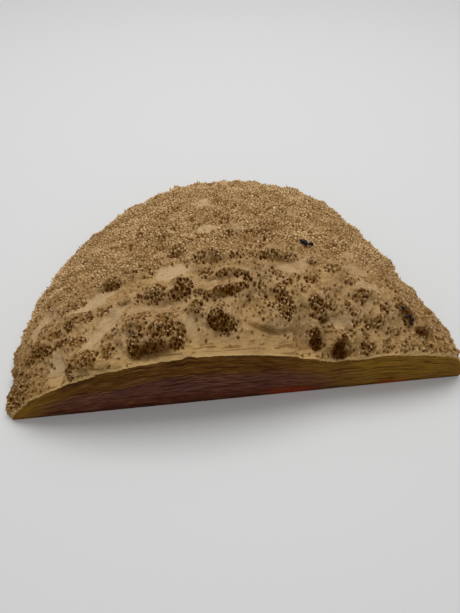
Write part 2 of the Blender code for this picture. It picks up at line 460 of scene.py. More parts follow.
def tufts():
    """Small mounds, in mm: along, back, half length, half width, turn, height."""
    chance = Random(SEED)
    forms = []
    while len(forms) < TUFTS:
        x = chance.uniform(*TUFT_ALONG)
        y = chance.uniform(*TUFT_BACK)
        size = chance.uniform(*TUFT_RADIUS)
        height = chance.uniform(*TUFT_HEIGHT)
        turn = chance.uniform(0.0, 180.0)
        place = np.array([x * MM]), np.array([y * MM])
        if highest(VALLEYS, *place)[0] < 0.1:
            forms.append((x, y, size * TUFT_LENGTH, size, turn, height))
    return forms


def skin_points(directions, small_mounds):
    """Points of the skin that directions from the dome's middle meet, and the way outward."""
    parts = []
    for start in range(0, len(directions), CHUNK):
        x, y, z = directions[start:start + CHUNK].T
        azimuth = np.arctan2(y, x)
        turn = np.arctan2(np.hypot(x, y), np.abs(z)) / (pi / 2.0)
        radius, power = rim_at(azimuth)
        share = share_along_flank(turn, radius, power)
        along = DOME_CENTRE[0] + share * radius * np.cos(azimuth)
        back = DOME_CENTRE[1] + share * radius * np.sin(azimuth)
        height = dome_height(share, power)
        slope = turn * pi / 2.0
        outward = np.stack([np.cos(azimuth) * np.sin(slope),
                            np.sin(azimuth) * np.sin(slope), np.cos(slope)], axis=1)
        out = relief(along, back) + height_of(small_mounds, along, back)
        out -= CREASE_DEPTH * crease(along, back)
        points = np.stack([along, back, height], axis=1)
        out += FOLDS[1] * noise_at(points * (1.0, 0.4, 0.4), FOLDS[0], seed=3.0)
        out += WRINKLES[1] * noise_at(points * (1.0, 0.6, 0.6), WRINKLES[0], seed=5.0)
        points += outward * out[:, None]
        mirror = np.where(z < 0.0, -1.0, 1.0)
        points[:, 2] *= mirror
        outward[:, 2] *= mirror
        parts.append(np.concatenate([points, outward], axis=1))
    both = np.concatenate(parts)
    return both[:, :3], both[:, 3:]


def paleness(points):
    """1 in the middle of the palest patches, falling raggedly to 0 at their edges."""
    share = np.zeros(len(points))
    ragged = 0.34 * noise_at(points, 4 * MM, seed=33.0)
    for form, near, rise in mounds_at(PALE_PATCHES, points[:, 0], points[:, 1]):
        pale = 0.1 * form[-1] * smooth_step(0.0, 0.6, rise + ragged[near])
        share[near] = np.maximum(share[near], pale)
    return share


def bareness(points):
    """1 on the smooth parts of the skin, 0 elsewhere."""
    along, back = points[:, 0], points[:, 1]
    shelf = smooth_step(13 * MM, 5 * MM, back)
    shelf *= smooth_step(60 * MM, 40 * MM, np.abs(along + 6 * MM))
    patches = smooth_step(0.05, 0.45, paleness(points))
    return np.clip(shelf + patches + 1.5 * crease(along, back), 0.0, 1.0)


def crowding(points, bare):
    """How closely pits crowd the skin at places, from 0 to 1."""
    along, back = points[:, 0], points[:, 1]
    at_back = smooth_step(60 * MM, 95 * MM, back)
    on_right = smooth_step(30 * MM, 60 * MM, along)
    at_ends = smooth_step(110 * MM, 150 * MM, np.abs(along))
    patchy = 0.30 * noise_at(points, 9 * MM, seed=8.0)
    scatter = SCATTER_FRONT + SCATTER_RIGHT * on_right + SCATTER_ENDS * at_ends
    scatter += (SCATTER_BACK - scatter) * at_back
    share = (scatter + patchy * (0.4 + at_back)) * (1.0 - bare)
    ragged = 0.12 * noise_at(points, 4 * MM, seed=31.0)
    for form, near, rise in mounds_at(CLUSTERS, along, back):
        dense = 0.1 * form[-1] * smooth_step(0.02, 0.24, rise + ragged[near])
        share[near] = np.maximum(share[near], dense)
    return np.clip(share, 0.0, 1.0)


def spike_cover(points, crowd, bare):
    """How closely spikes cover the skin at places, from 0 to 1."""
    along, back = points[:, 0], points[:, 1]
    at_back = smooth_step(52 * MM, 92 * MM, back)
    at_ends = smooth_step(105 * MM, 145 * MM, np.abs(along))
    at_ends *= smooth_step(2 * MM, 20 * MM, back)
    clumps = smooth_step(-0.35, 0.35, noise_at(points, 8 * MM, seed=8.0))
    cover = np.maximum(at_back, 0.8 * at_ends) * (0.50 + 0.45 * clumps)
    return np.clip(np.maximum(cover, 0.85 * crowd) - 0.8 * bare, 0.0, 1.0)


def grain_way(points):
    """A place along the grain: downhill on the dome, along the cut near the sawn side."""
    x = points[:, 0] - DOME_CENTRE[0]
    y = points[:, 1] - DOME_CENTRE[1]
    round_dome = np.arctan2(y, x) * GRAIN_RADIUS
    down = np.hypot(x, y)
    by_cut = smooth_step(24 * MM, 10 * MM, points[:, 1])[:, None]
    drawn_out = GRAIN_DOWNHILL * down, GRAIN_DOWNHILL * points[:, 2]
    downhill = np.stack([round_dome, *drawn_out], axis=1)
    sideways = np.stack([GRAIN_ALONG * points[:, 0], points[:, 1], points[:, 2]], axis=1)
    return downhill + by_cut * (sideways - downhill)


def thin_out(spots, gaps, wanted):
    """Keeps the spots that are wanted and no closer to a kept one than the gap."""
    cell = float(gaps.max())
    kept = {}
    chosen = []
    table = zip(spots.tolist(), gaps.tolist(), wanted.tolist())
    for index, (spot, gap, want) in enumerate(table):
        if not want:
            continue
        home = tuple(int(value // cell) for value in spot)
        near = []
        for i in (-1, 0, 1):
            for j in (-1, 0, 1):
                for k in (-1, 0, 1):
                    near += kept.get((home[0] + i, home[1] + j, home[2] + k), [])
        limit = gap * gap
        if all(sum((p - q) ** 2 for p, q in zip(spot, other)) > limit for other in near):
            kept.setdefault(home, []).append(spot)
            chosen.append(index)
    return np.array(chosen)


def pits_at(points, crowd):
    """How deep in a pit each place lies, from 0 outside to 1 in the middle of a deep one."""
    draw = np.random.default_rng(SEED + 5)
    order = draw.permutation(len(points))
    spots, dense = points[order], crowd[order]
    narrow = spots * (PIT_NARROWING, 1.0, 1.0)
    wanted = dense > 0.5 + 0.6 * noise_at(spots, 3.5 * MM, seed=21.0)
    wanted &= (spots[:, 1] > 1.5 * MM) & (spots[:, 2] > 4 * MM)
    gaps = PIT_GAP[1] + (PIT_GAP[0] - PIT_GAP[1]) * dense
    chosen = thin_out(narrow, gaps * draw.uniform(0.85, 1.30, len(gaps)), wanted)
    low, high = PIT_RADIUS
    radii = low + (high - low) * draw.random(len(chosen)) * (0.35 + 0.65 * dense[chosen])
    depths = draw.uniform(0.45, 1.0, len(chosen)) * (0.55 + 0.45 * dense[chosen])
    tree = KDTree(len(chosen))
    for index, centre in enumerate(narrow[chosen]):
        tree.insert(centre, index)
    tree.balance()
    share = np.zeros(len(points))
    warp = [noise_at(spots, 2.2 * MM, seed) for seed in (41.0, 43.0, 47.0)]
    for place, point in zip(order, narrow + PIT_WARP * np.stack(warp, axis=1)):
        (_, index, first), (_, _, second) = tree.find_n(point, 2)
        hole = max(1.0 - (first / radii[index]) ** 2, 0.0)
        share[place] = depths[index] * hole * min((second - first) / PIT_WALL, 1.0)
    return share


# Meshes

def write_attribute(mesh, name, values):
    kind, field = ("FLOAT", "value") if values.ndim == 1 else ("FLOAT_VECTOR", "vector")
    layer = mesh.attributes.new(name, kind, "POINT")
    layer.data.foreach_set(field, np.ascontiguousarray(values, dtype=np.float32).ravel())


def add_object(name, mesh, materials):
    for material in materials:
        mesh.materials.append(material)
    piece = bpy.data.objects.new(name, mesh)
    bpy.context.scene.collection.objects.link(piece)
    return piece


def saw(ball, axis):
    """Takes off what lies below 0 on an axis, and leaves no face flush with the cut."""
    for vertex in ball.verts:
        if abs(vertex.co[axis]) < SAW_SNAP:
            vertex.co[axis] = 0.0
    normal = [0.0, 0.0, 0.0]
    normal[axis] = 1.0
    everything = ball.verts[:] + ball.edges[:] + ball.faces[:]
    bmesh.ops.bisect_plane(ball, geom=everything, dist=ON_PLANE, plane_co=(0.0, 0.0, 0.0),
                           plane_no=normal, clear_inner=True)
    flush = [f for f in ball.faces if max(abs(v.co[axis]) for v in f.verts) < ON_PLANE]
    bmesh.ops.delete(ball, geom=flush, context="FACES")


def edge_of_cut(ball):
    """The skin's edge on the upright saw cut, from its left foot over to its right foot."""
    cut = {e for e in ball.edges if e.is_boundary and max(abs(v.co.y) for v in e.verts) < ON_PLANE}
    feet = [v for e in cut for v in e.verts if v.co.z < ON_PLANE]
    chain = [min(feet, key=lambda v: v.co.x)]
    while following := cut.intersection(chain[-1].link_edges):
        step = following.pop()
        cut.discard(step)
        chain.append(step.other_vert(chain[-1]))
    return chain


def side_column(ball, top, feet):
    """Corners from the skin's edge down to the underside, slanting to a foot it overhangs."""
    left, right = feet
    foot = None
    if top.co.x <= left.co.x:
        foot = left
    if top.co.x >= right.co.x:
        foot = right
    if top == foot:
        return [top] * (SIDE_ROWS + 1)
    column = [top]
    for row in range(1, SIDE_ROWS + 1):
        share = row / SIDE_ROWS
        along = top.co.x + share * (foot.co.x - top.co.x) if foot else top.co.x
        height = top.co.z * (1.0 - share)
        spot = Vector((along / SIDE_DENT_STRETCH, 0.0, height)) / MM
        dent = SIDE_DENT * (1.0 + noise.noise(spot))
        at_foot = foot and row == SIDE_ROWS
        column.append(foot if at_foot else ball.verts.new((along, dent, height)))
    return column


def add_side_face(ball, corners):
    corners = list(dict.fromkeys(corners))
    if len(corners) > 2:
        ball.faces.new(corners).material_index = SAWN_SIDE


def fill_side(ball):
    """Closes the upright saw cut with even rows of faces under the skin's edge."""
    chain = edge_of_cut(ball)
    feet = chain[0], chain[-1]
    places = [vertex.co.x for vertex in chain]
    tops = [places.index(min(places))]
    for index in range(tops[0] + 1, places.index(max(places)) + 1):
        if places[index] > places[tops[-1]]:
            tops.append(index)
    columns = [side_column(ball, chain[index], feet) for index in tops]
    for left, right in zip(columns, columns[1:]):
        for row in range(SIDE_ROWS):
            add_side_face(ball, [left[row], left[row + 1], right[row + 1], right[row]])
    # Under the edge's overhangs: at both feet, and where it turns back on itself
    add_side_face(ball, chain[:tops[0]] + columns[0])
    add_side_face(ball, chain[tops[-1]:] + columns[-1][::-1])
    for left, right in zip(tops, tops[1:]):
        add_side_face(ball, chain[left:right + 1])
    return np.array([(chain[index].co.x, chain[index].co.z) for index in tops])


def fill_underside(ball):
    open_edges = [edge for edge in ball.edges if edge.is_boundary]
    for face in bmesh.ops.holes_fill(ball, edges=open_edges, sides=0)["faces"]:
        face.material_index = UNDERSIDE


def directions_of(ball):
    directions = np.array([vertex.co[:] for vertex in ball.verts])
    return directions / np.linalg.norm(directions, axis=1)[:, None]


def make_net(small_mounds):
    """A ball of directions, without what the saws take off and twice as fine in front."""
    ball = bmesh.new()
    bmesh.ops.create_icosphere(ball, subdivisions=NET_SUBDIVISIONS, radius=1.0)
    low = [vertex for vertex in ball.verts if vertex.co.z < NET_FOOT]
    bmesh.ops.delete(ball, geom=low, context="VERTS")
    places, _ = skin_points(directions_of(ball), small_mounds)
    backs = dict(zip(ball.verts, places[:, 1]))
    in_front = {vertex for vertex, back in backs.items() if SAWN_OFF <= back < FRONT_DEPTH}
    gone = [vertex for vertex, back in backs.items() if back < SAWN_OFF]
    bmesh.ops.delete(ball, geom=gone, context="VERTS")
    fine = [edge for edge in ball.edges if in_front.issuperset(edge.verts)]
    bmesh.ops.subdivide_edges(ball, edges=fine, cuts=1, use_grid_fill=True)
    return ball


def make_surface():
    """The whole surface as arrays: points, corners of the triangles, their kinds, values."""
    small_mounds = tufts()
    ball = make_net(small_mounds)
    points, outward = skin_points(directions_of(ball), small_mounds)
    bare = bareness(points)
    crowd = crowding(points, bare)
    pit = pits_at(points, crowd)
    lump = np.clip(0.5 + 0.9 * noise_at(points * (1.2, 0.8, 0.8), LUMP_SIZE, seed=51.0), 0.0, 1.0)
    rough = LEAST_ROUGHNESS + (1.0 - LEAST_ROUGHNESS) * smooth_step(0.15, 0.70, crowd)
    rough *= 1.0 - 0.7 * bare
    out = LUMP_HEIGHT * (lump - 0.4) * rough - PIT_DEPTH * pit
    points += outward * out[:, None]
    kept = {"bare": bare, "crowd": crowd, "pit": pit, "lump": lump}
    layers = [ball.verts.layers.float.new(name) for name in kept]
    for vertex, place, *shares in zip(ball.verts, points, *kept.values()):
        vertex.co = place
        for layer, share in zip(layers, shares):
            vertex[layer] = share
    saw(ball, 1)
    saw(ball, 2)
    edge = fill_side(ball)
    fill_underside(ball)
    bmesh.ops.triangulate(ball, faces=ball.faces[:])
    bmesh.ops.recalc_face_normals(ball, faces=ball.faces[:])
    ball.verts.index_update()
    points = np.array([vertex.co[:] for vertex in ball.verts])
    kept = {name: np.array([vertex[layer] for vertex in ball.verts])
            for name, layer in zip(kept, layers)}
    corners = np.array([[v.index for v in face.verts] for face in ball.faces])
    kinds = np.array([face.material_index for face in ball.faces])
    ball.free()

    along, back = points[:, 0], points[:, 1]
    depth = np.interp(along, edge[:, 0], edge[:, 1]) - points[:, 2]
    stains = [(x, y, length, width, 0) for x, y, length, width in STAINS]
    level = points[:, 2] / np.maximum(points[:, 2] + depth, 1 * MM)
    ends = smooth_step(112 * MM, 152 * MM, -along) + 0.2 * smooth_step(112 * MM, 152 * MM, along)
    values = {
        **kept,
        "cover": spike_cover(points, kept["crowd"], kept["bare"]),
        "lee_shade": lee_shade(along, back),
        "pale": paleness(points),
        "at_back": smooth_step(45 * MM, 95 * MM, back),
        "at_ends": ends * smooth_step(60 * MM, 30 * MM, back),
        "stain": np.clip(1.5 * highest(stains, along, back), 0.0, 1.0),
        "crease": crease(along, back),
        "shelf": smooth_step(15 * MM, 6 * MM, back),
        "edge": smooth_step(2.0 * MM, 0.3 * MM, back),
        "depth": depth / MM,
        "level": level,
        "place": along / MM,
        "grain": grain_way(points),
        "layers": np.stack([0.07 * along, level * 46 * MM, back], axis=1),
    }
    return points, corners, kinds, values


def vertex_normals(points, corners):
    a, b, c = (points[corners[:, k]] for k in range(3))
    cross = np.cross(b - a, c - a)
    normals = np.zeros_like(points)
    for k in range(3):
        np.add.at(normals, corners[:, k], cross)
    return normals / (np.linalg.norm(normals, axis=1)[:, None] + 1e-12)


def part_of_surface(name, points, corners, kinds, values, names, normals, materials):
    """A piece made of some of the surface's triangles."""
    used, inside = np.unique(corners, return_inverse=True)
    mesh = bpy.data.meshes.new(name)
    mesh.from_pydata(points[used].tolist(), [], inside.reshape(-1, 3).tolist())
    mesh.polygons.foreach_set("material_index", kinds.astype(np.int32))
    mesh.shade_smooth()
    if normals is None:
        mesh.set_sharp_from_angle(angle=radians(60))
    else:
        mesh.normals_split_custom_set_from_vertices(normals[used])
    for value in names:
        write_attribute(mesh, value, values[value][used])
    return add_object(name, mesh, materials)


def make_body(surface):
    points, corners, kinds, values = surface
    skin = corners[kinds == SKIN]
    normals = vertex_normals(points, skin)
    in_front = points[skin[:, 0], 1] < FRONT_DEPTH
    on_left = points[skin[:, 0], 0] < 0.0
    parts = {"skin_front_left": in_front & on_left, "skin_front_right": in_front & ~on_left,
             "skin_back": ~in_front}
    of_skin = ("crowd", "lump", "lee_shade", "pit", "pale", "stain", "crease", "shelf", "edge",
               "at_back", "at_ends", "grain")
    pieces = []
    look = [skin_material()]
    for name, own in parts.items():
        first = np.zeros(own.sum())
        pieces.append(part_of_surface(name, points, skin[own], first, values, of_skin,
                                      normals, look))
    sawn = kinds != SKIN
    looks = [sawn_side_material(), underside_material()]
    which = kinds[sawn] - SAWN_SIDE
    of_sawn = ("depth", "level", "place", "layers")
    pieces.append(part_of_surface("sawn_faces", points, corners[sawn], which, values, of_sawn,
                                  None, looks))
    return pieces


def spots_on_skin(points, corners, values, names):
    """Random points on the skin with normals and values there, spread evenly over its area."""
    draw = np.random.default_rng(SEED)
    a, b, c = (points[corners[:, k]] for k in range(3))
    area = np.linalg.norm(np.cross(b - a, c - a), axis=1)
    normals = vertex_normals(points, corners)
    chosen = corners[draw.choice(len(corners), SPIKE_TRIES, p=area / area.sum())]
    u, v = draw.random(SPIKE_TRIES), draw.random(SPIKE_TRIES)
    u, v = np.where(u + v > 1.0, 1.0 - u, u), np.where(u + v > 1.0, 1.0 - v, v)
    weights = np.stack([1.0 - u - v, u, v], axis=1)
    spots = np.einsum("nk,nkd->nd", weights, points[chosen])
    facing = np.einsum("nk,nkd->nd", weights, normals[chosen])
    facing /= np.linalg.norm(facing, axis=1)[:, None]
    there = {name: (weights * values[name][chosen]).sum(axis=1) for name in names}
    return spots, facing, there


def choose_spikes(points, corners, values):
    """Where the spikes stand, which way they point, how big they are and values there."""
    draw = np.random.default_rng(SEED + 1)
    names = ("cover", "lee_shade", "pit", "lump", "stain", "at_back", "at_ends")
    spots, facing, there = spots_on_skin(points, corners, values, names)
    cover, at_back = there["cover"], there["at_back"]
    gaps = SPIKE_GAP_FRONT + (SPIKE_GAP_BACK - SPIKE_GAP_FRONT) * at_back
    gaps *= draw.uniform(0.80, 1.30, len(gaps)) * (1.0 + 0.3 * noise_at(spots, 11 * MM, seed=61.0))
    wanted = (cover > 0.40 + 0.50 * noise_at(spots, 3.2 * MM, seed=14.0)) & (cover > 0.08)
    wanted &= (there["pit"] < 0.10) & (spots[:, 2] > 0.6 * MM)
    wanted &= draw.random(len(gaps)) < FRONT_SPIKE_SHARE + (1.0 - FRONT_SPIKE_SHARE) * at_back
    wanted &= (there["lump"] > 0.45) | (at_back > 0.3)
    chosen = thin_out(spots, gaps, wanted)
    spots, facing, gaps, at_back = spots[chosen], facing[chosen], gaps[chosen], at_back[chosen]
    there = {name: value[chosen] for name, value in there.items()}
    count = len(spots)
    share = draw.random(count) ** 1.2
    front = SPIKE_HEIGHT_FRONT[0] + (SPIKE_HEIGHT_FRONT[1] - SPIKE_HEIGHT_FRONT[0]) * share
    rear = SPIKE_HEIGHT_BACK[0] + (SPIKE_HEIGHT_BACK[1] - SPIKE_HEIGHT_BACK[0]) * share
    vigour = 0.45 + 0.55 * smooth_step(-0.35, 0.40, noise_at(spots, 7 * MM, seed=17.0))
    stout = np.where(draw.random(count) < STOUT_SHARE * at_back, STOUT_GROWTH, 1.0)
    height = (front + (rear - front) * at_back) * vigour * stout
    foot = gaps * draw.uniform(*SPIKE_FOOT, count) * (0.60 + 0.40 * at_back) * stout ** 0.3
    outward = spots - np.array([*DOME_CENTRE, SPIKE_ROOT])
    outward /= np.linalg.norm(outward, axis=1)[:, None]
    lean = 0.55 * facing + 0.45 * outward + 0.16 * draw.normal(size=(count, 3))
    lean[:, 2] += SPIKE_LIFT
    lean /= np.linalg.norm(lean, axis=1)[:, None]
    return spots, facing, lean, height, foot, there


def spike_zone(spots):
    """Which of the four groups a spike belongs to."""
    x, y = spots[:, 0], spots[:, 1]
    at_back = np.where(x < LEFT_SPIKES_END, 1, np.where(x > RIGHT_SPIKES_START, 2, 3))
    return np.where(y < FRONT_SPIKES_DEPTH, 0, at_back)


def spike_mesh(name, spots, facing, lean, height, foot, there, draw):
    """One mesh of curved six-sided spikes, sunk in the skin and broad downhill."""
    count = len(spots)
    side = np.cross(facing, (0.0, 0.0, 1.0)) + 1e-6
    side /= np.linalg.norm(side, axis=1)[:, None]
    other = np.cross(facing, side)
    spin = draw.normal(0.0, 0.55, count)
    front = draw.uniform(*FRONT_BLADES, count)
    flat = front + (draw.uniform(*BACK_BLADES, count) - front) * there["at_back"]
    places, rise = [], []
    for up, downhill, across in SPIKE_RINGS:
        middle = spots + (facing * up + (lean - facing) * up * abs(up)) * height[:, None]
        for step in range(SPIKE_SIDES):
            angle = 2.0 * pi * step / SPIKE_SIDES
            wobble = 1.0 + draw.uniform(-0.16, 0.16, count)
            u = np.cos(angle) * across * foot * wobble * flat
            v = np.sin(angle) * downhill * foot * wobble
            off = (u * np.cos(spin) - v * np.sin(spin))[:, None] * side
            off += (u * np.sin(spin) + v * np.cos(spin))[:, None] * other
            places.append(middle + off)
            rise.append(np.full(count, max(up, 0.0)))
    places.append(spots + lean * height[:, None])
    rise.append(np.ones(count))
    places = np.stack(places, axis=1)
    rise = np.stack(rise, axis=1)
    places[:, :, 1] = np.maximum(places[:, :, 1], 0.05 * MM)
    places[:, :, 2] = np.maximum(places[:, :, 2], 0.05 * MM)

    faces = []
    for ring in range(len(SPIKE_RINGS) - 1):
        for step in range(SPIKE_SIDES):
            following = (step + 1) % SPIKE_SIDES
            a, b = ring * SPIKE_SIDES + step, ring * SPIKE_SIDES + following
            faces += [(a, b, b + SPIKE_SIDES), (a, b + SPIKE_SIDES, a + SPIKE_SIDES)]
    last = (len(SPIKE_RINGS) - 1) * SPIKE_SIDES
    tip = last + SPIKE_SIDES
    for step in range(SPIKE_SIDES):
        faces.append((last + step, last + (step + 1) % SPIKE_SIDES, tip))
    for step in range(1, SPIKE_SIDES - 1):
        faces.append((0, step + 1, step))
    corners = np.array(faces)[None] + (np.arange(count) * (tip + 1))[:, None, None]

    mesh = bpy.data.meshes.new(name)
    mesh.from_pydata(places.reshape(-1, 3).tolist(), [], corners.reshape(-1, 3).tolist())
    mesh.shade_smooth()
    write_attribute(mesh, "rise", rise.reshape(-1))
    write_attribute(mesh, "tone", np.repeat(draw.random(count), tip + 1))
    for value in ("lee_shade", "stain", "at_back", "at_ends"):
        write_attribute(mesh, value, np.repeat(there[value], tip + 1))
    return mesh


def make_spikes(surface, material):
    points, corners, kinds, values = surface
    draw = np.random.default_rng(SEED + 2)
    skin = corners[kinds == SKIN]
    spots, facing, lean, height, foot, there = choose_spikes(points, skin, values)
    zones = spike_zone(spots)
    pieces = []
    for zone, name in enumerate(("spikes_front", "spikes_left", "spikes_right", "spikes_back")):
        own = zones == zone
        here = {value: numbers[own] for value, numbers in there.items()}
        mesh = spike_mesh(name, spots[own], facing[own], lean[own], height[own], foot[own],
                          here, draw)
        pieces.append(add_object(name, mesh, [material]))
    return pieces


def make_beads(surface, material):
    """Small drops of resin that sit on the skin."""
    points, corners, kinds, _ = surface
    skin = np.unique(corners[kinds == SKIN])
    drops = bmesh.new()
    for along, back, half_length, half_width, height in BEADS:
        off = np.hypot(points[skin, 0] - along * MM, points[skin, 1] - back * MM)
        foot = points[skin[off.argmin()]]
        size = Matrix.Diagonal((half_length * MM, half_width * MM, height * MM, 1.0))
        turned = Matrix.Rotation(BEAD_TURN, 4, "Z") @ size
        place = Matrix.Translation(foot + np.array([0.0, 0.0, BEAD_LIFT])) @ turned
        bmesh.ops.create_icosphere(drops, subdivisions=3, radius=1.0, matrix=place)
    mesh = bpy.data.meshes.new("resin_beads")
    drops.to_mesh(mesh)
    drops.free()
    mesh.shade_smooth()
    return add_object("resin_beads", mesh, [material])


# Materials

class Shader:
    """A Principled material with short calls for the nodes that feed it."""

    def __init__(self, name, roughness, specular):
        self.material = bpy.data.materials.new(name)
        self.material.use_nodes = True
        self.tree = self.material.node_tree
        self.out = self.tree.nodes["Principled BSDF"]
        self.out.inputs["Roughness"].default_value = roughness
        self.out.inputs["Specular IOR Level"].default_value = specular
        self.painted = None

    def node(self, kind, **inputs):
        """A new node, its inputs being numbers or the outputs of other nodes."""
        node = self.tree.nodes.new("ShaderNode" + kind)
        for name, value in inputs.items():
            self.feed(node.inputs[name], value)
        return node

    def feed(self, socket, value):
        if isinstance(value, bpy.types.NodeSocket):
            self.tree.links.new(value, socket)
        else:
            socket.default_value = value

    def attribute(self, name, output="Fac"):
        node = self.node("Attribute")
        node.attribute_name = name
        return node.outputs[output]

    def noise(self, size, stretch=(1.0, 1.0, 1.0), detail=4.0, rough=0.6, bend=0.0, way=None):
        place = way or self.node("TexCoord").outputs["Object"]
        mapping = self.node("Mapping", Vector=place, Scale=stretch)
        node = self.node("TexNoise", Vector=mapping.outputs["Vector"], Scale=1.0 / size,
                         Detail=detail, Roughness=rough, Distortion=bend)
        return node.outputs["Fac"]

    def cells(self, size):
        """Distance from the middle of the nearest of many small cells."""
        place = self.node("TexCoord").outputs["Object"]
        return self.node("TexVoronoi", Vector=place, Scale=1.0 / size).outputs["Distance"]

    def math(self, kind, first, second=0.0):
        node = self.node("Math")
        node.operation = kind
        node.use_clamp = kind in ("MULTIPLY", "ADD", "SUBTRACT")
        self.feed(node.inputs[0], first)
        self.feed(node.inputs[1], second)
        return node.outputs["Value"]

    def times(self, first, second):
        return self.math("MULTIPLY", first, second)

    def span(self, value, low, high):
        """0 at low, 1 at high, smooth between."""
        node = self.node("MapRange", Value=value)
        node.interpolation_type = "SMOOTHSTEP"
        node.inputs["From Min"].default_value = low
        node.inputs["From Max"].default_value = high
        return node.outputs["Result"]

    def mix(self, share, first, second):
        node = self.node("Mix")
        node.data_type = "RGBA"
        self.feed(node.inputs["Factor"], share)
        self.feed(node.inputs[6], first)
        self.feed(node.inputs[7], second)
        return node.outputs[2]

    def paint(self, colour, share, strength=None):
        """Covers the colours so far with another, as far as a share of 0 to 1 says."""
        if strength is not None:
            share = self.times(share, strength)
        self.painted = self.mix(share, self.painted, colour)

    def colour(self, value):
        self.feed(self.out.inputs["Base Color"], value)

    def bump(self, height, distance, strength=1.0):
        node = self.node("Bump", Strength=strength, Distance=distance, Height=height)
        self.feed(self.out.inputs["Normal"], node.outputs["Normal"])


def rgb(red, green, blue):
    return (red, green, blue, 1.0)


def skin_material():
    skin = Shader("barkless_skin", 0.9, 0.0)
    cream, tan, golden = rgb(0.64, 0.46, 0.26), rgb(0.53, 0.345, 0.165), rgb(0.52, 0.325, 0.125)
    fawn, brown, dark = rgb(0.35, 0.205, 0.085), rgb(0.19, 0.092, 0.022), rgb(0.060, 0.014, 0.0)
    umber = rgb(0.105, 0.042, 0.0)
    shelf, pit = skin.attribute("shelf"), skin.attribute("pit")
    crowd, lump = skin.attribute("crowd"), skin.attribute("lump")
    way = skin.attribute("grain", "Vector")
    skin.painted = skin.mix(skin.span(skin.noise(8 * MM, detail=7.0), 0.42, 0.64), tan, fawn)
    skin.paint(golden, skin.span(skin.noise(38 * MM), 0.45, 0.7), 0.5)
    skin.paint(cream, skin.attribute("pale"), 0.85)
    skin.paint(brown, skin.span(skin.noise(1.9 * MM, way=way), 0.46, 0.70), 0.45)
    skin.paint(brown, skin.span(skin.noise(1.6 * MM, detail=3.0), 0.50, 0.64), 0.30)
    skin.paint(brown, skin.attribute("at_ends"), 0.50)
    skin.paint(golden, shelf, 0.6)
    line = skin.span(skin.noise(2.4 * MM, (0.30, 1.0, 1.0), way=way, bend=0.4), 0.52, 0.60)
    skin.paint(brown, skin.times(shelf, line), 0.75)
    # Painted shade: browner in the low parts between the lumps where pits crowd
    hollow_shade = skin.times(skin.span(lump, 0.55, 0.20), skin.span(crowd, 0.20, 0.75))
    skin.paint(brown, hollow_shade, 0.75)
    shade = skin.times(skin.span(crowd, 0.40, 0.85), skin.span(skin.noise(3.0 * MM), 0.30, 0.55))
    skin.paint(rgb(0.24, 0.135, 0.045), shade, 0.40)
    # Painted highlight: paler on the high lumps where pits crowd
    ridge = skin.times(skin.span(lump, 0.60, 0.90), skin.span(crowd, 0.20, 0.75))
    skin.paint(rgb(0.72, 0.50, 0.25), ridge, 0.60)
    # Darker in the gaps between spikes: partly dirt, partly painted shade
    gap = skin.span(skin.cells(2.3 * MM), 0.30, 0.62)
    spiky = skin.times(skin.span(crowd, 0.25, 0.70), 0.6)
    spiky = skin.math("MAXIMUM", skin.times(skin.attribute("at_back"), 0.8), spiky)
    spiky = skin.math("SUBTRACT", spiky, skin.attribute("pale"))
    skin.paint(brown, skin.times(gap, spiky))
    # Painted shade on the steep front sides of knobs
    knob_front_shade = skin.times(skin.attribute("lee_shade"), skin.span(skin.noise(4.0 * MM), 0.25, 0.50))
    skin.paint(umber, knob_front_shade, 0.85)
    # Painted shade in the pits: browner at their rims, near black in the deep ones
    skin.paint(brown, skin.span(pit, 0.0, 0.25), 0.65)
    deep = skin.math("ADD", skin.times(crowd, 0.55), 0.45)
    skin.paint(dark, skin.times(skin.span(pit, 0.15, 0.50), deep))
    # Painted shade along the crease under the swirl
    tangle = skin.span(skin.noise(2.6 * MM, way=way), 0.25, 0.60)
    crease_shade = skin.times(skin.attribute("crease"), tangle)
    skin.paint(umber, crease_shade, 0.85)
    skin.paint(dark, skin.attribute("stain"), 0.75)
    skin.paint(rgb(0.62, 0.42, 0.18), skin.attribute("edge"), 0.5)
    skin.colour(skin.painted)
    skin.bump(skin.noise(1.1 * MM), 0.30 * MM, 0.7)
    return skin.material


def spike_material():
    spike = Shader("spike_wood", 0.75, 0.05)
    rise, tone = spike.attribute("rise"), spike.attribute("tone")
    at_back = spike.attribute("at_back")
    # Spikes are darker at the foot, partly dirt between them and partly painted shade, and paler
    # at the tip: their own golden tips, with a few bright ones as painted highlight
    foot = spike.mix(at_back, rgb(0.34, 0.20, 0.08), rgb(0.29, 0.160, 0.060))
    flank = spike.mix(tone, rgb(0.53, 0.330, 0.147), rgb(0.84, 0.60, 0.32))
    tip = spike.mix(spike.math("POWER", tone, 5.0), rgb(0.72, 0.485, 0.240), rgb(1.0, 0.79, 0.46))
    spike.painted = spike.mix(spike.span(rise, 0.0, 0.32), foot, flank)
    spike.paint(tip, spike.span(rise, 0.42, 1.0))
    brown, pale = rgb(0.32, 0.175, 0.060), rgb(0.84, 0.61, 0.33)
    spike.paint(brown, spike.span(spike.noise(17 * MM, detail=6.0), 0.44, 0.64), 0.55)
    spike.paint(pale, spike.span(spike.noise(19 * MM), 0.52, 0.66), 0.55)
    spike.paint(rgb(0.20, 0.100, 0.025), spike.attribute("at_ends"), 0.35)
    # Painted shade on spikes that stand on the front sides of knobs
    spike.paint(rgb(0.12, 0.060, 0.010), spike.attribute("lee_shade"), 0.60)
    spike.paint(rgb(0.04, 0.018, 0.008), spike.attribute("stain"), 0.8)
    spike.colour(spike.painted)
    spike.bump(spike.noise(0.7 * MM, (1.0, 1.0, 0.4)), 0.15 * MM, 0.5)
    return spike.material


